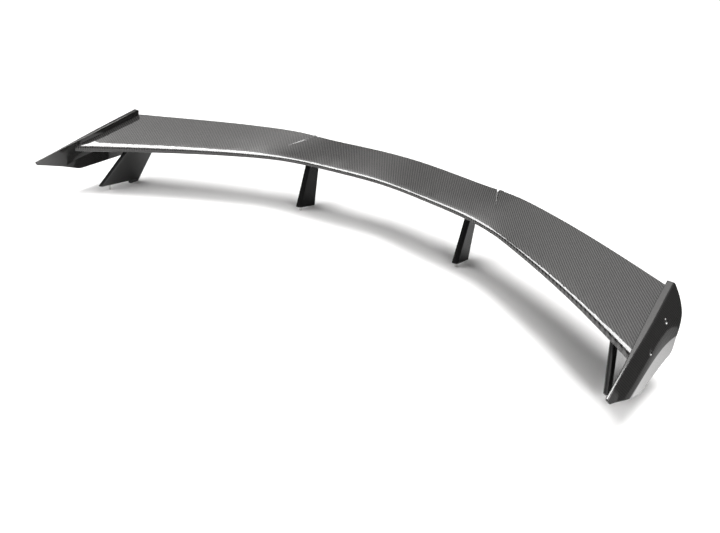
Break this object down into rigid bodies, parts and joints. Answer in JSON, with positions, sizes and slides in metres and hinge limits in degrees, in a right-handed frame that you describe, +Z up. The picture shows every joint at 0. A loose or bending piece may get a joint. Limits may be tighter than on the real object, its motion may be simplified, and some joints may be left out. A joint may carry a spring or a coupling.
{
  "type": "rear wing",
  "caption": "Bowed carbon-fibre boot-lid rear wing with notched trailing edge, end plates, slim inner struts and wide outer stands on threaded studs.",
  "frame": {"origin": "on the floor, in the plane of symmetry, under the middle of the wing's depth", "axes": "+X along the span to the right-hand end plate, +Y towards the trailing edge, +Z up"},
  "size_m": [1.507, 0.592, 0.1944],
  "materials": {
    "carbon_gloss": "clear-coated 2x2 twill carbon fibre laminate",
    "black_gloss": "gloss black moulded composite",
    "foam": "closed-cell structural foam",
    "composite_block": "dense laminated block",
    "dark_steel": "black oxide",
    "steel": "zinc plated",
    "aluminium": "turned",
    "rubber": "soft, matt"
  },
  "bodies": {
    "root": {"upper_skin": "carbon_gloss", "lower_skin": "carbon_gloss", "endplate_left": "carbon_gloss", "endplate_right": "carbon_gloss", "inner_strut_left": "black_gloss", "inner_strut_right": "black_gloss", "outer_stand_left": "black_gloss", "outer_stand_right": "black_gloss", "core_center": "foam", "core_left": "foam", "core_right": "foam", "end_rib_left": "composite_block", "end_rib_right": "composite_block", "hardpoint_inner_left": "composite_block", "hardpoint_inner_right": "composite_block", "hardpoint_outer_left": "composite_block", "hardpoint_outer_right": "composite_block", "endplate_screws": "dark_steel", "strut_bolts": "dark_steel", "stand_bolts": "dark_steel", "mounting_studs": "steel", "endplate_inserts": "aluminium", "wing_inserts": "aluminium", "foot_inserts": "aluminium", "gasket_inner_left": "rubber", "gasket_inner_right": "rubber", "gasket_outer_left": "rubber", "gasket_outer_right": "rubber", "heel_pad_left": "rubber", "heel_pad_right": "rubber"}
  },
  "joints": []
}
